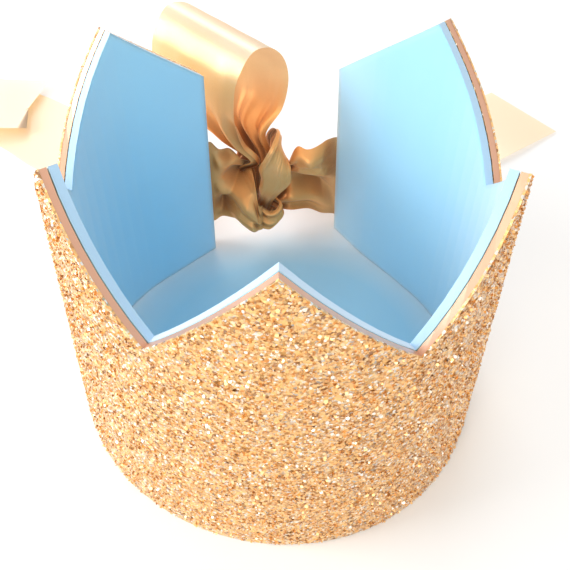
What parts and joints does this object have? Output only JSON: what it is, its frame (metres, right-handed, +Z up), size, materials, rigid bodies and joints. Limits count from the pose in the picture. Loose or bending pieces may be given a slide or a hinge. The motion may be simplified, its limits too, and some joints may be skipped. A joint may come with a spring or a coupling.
{
  "type": "party crown",
  "caption": "Small open-topped crown, a zigzag strip of glitter sheet lined with blue sheet, bent into a ring and tied at the back with a looped satin ribbon.",
  "frame": {"origin": "on the table, under the middle of the whole crown with its ribbons laid out", "axes": "+Z up out of the open top, -Y out through the front point, +X along the longest extent, towards the ribbon's right tail"},
  "size_m": [0.2824, 0.2196, 0.103],
  "materials": {
    "gold_glitter": "coarse gold glitter on 2 mm craft foam",
    "sky_blue_sheet": "smooth matt craft foam",
    "left_gold_satin": "gold satin ribbon",
    "right_gold_satin": "gold satin ribbon"
  },
  "bodies": {
    "root": {"glitter_outer_sheet": "gold_glitter", "blue_inner_sheet": "sky_blue_sheet", "ribbon_left": "left_gold_satin", "ribbon_right": "right_gold_satin"}
  },
  "joints": []
}
